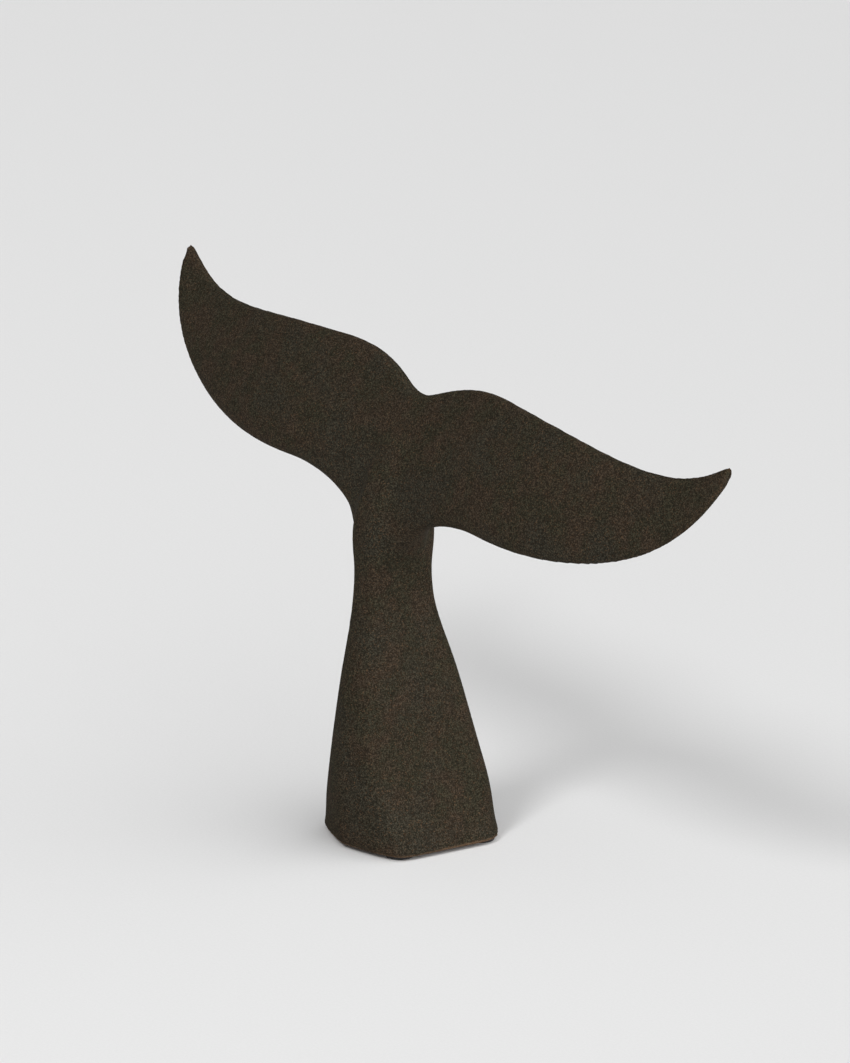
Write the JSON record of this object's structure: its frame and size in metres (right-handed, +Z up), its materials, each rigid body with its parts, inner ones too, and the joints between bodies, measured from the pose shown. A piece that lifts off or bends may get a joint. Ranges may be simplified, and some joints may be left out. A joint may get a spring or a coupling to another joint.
{
  "type": "whale tail figurine",
  "caption": "Upright stoneware whale-tail ornament: a flared hollow stalk with a raised crest opening into two swept flukes, standing on small rubber pads with a plug in its drain hole.",
  "frame": {"origin": "on the table, under the middle of the part's overall box", "axes": "+X along the flukes, -Y towards the front of the tail, +Z up"},
  "size_m": [0.312, 0.0556, 0.1586],
  "materials": {
    "stoneware": "matte speckled dark brown glaze, bare clay at the foot",
    "plug_rubber": "matte black",
    "pad_rubber": "matte black"
  },
  "bodies": {
    "root": {"tail_body": "stoneware", "drain_plug": "plug_rubber", "pad_front_left": "pad_rubber", "pad_front_right": "pad_rubber", "pad_back_left": "pad_rubber", "pad_back_right": "pad_rubber"}
  },
  "joints": []
}
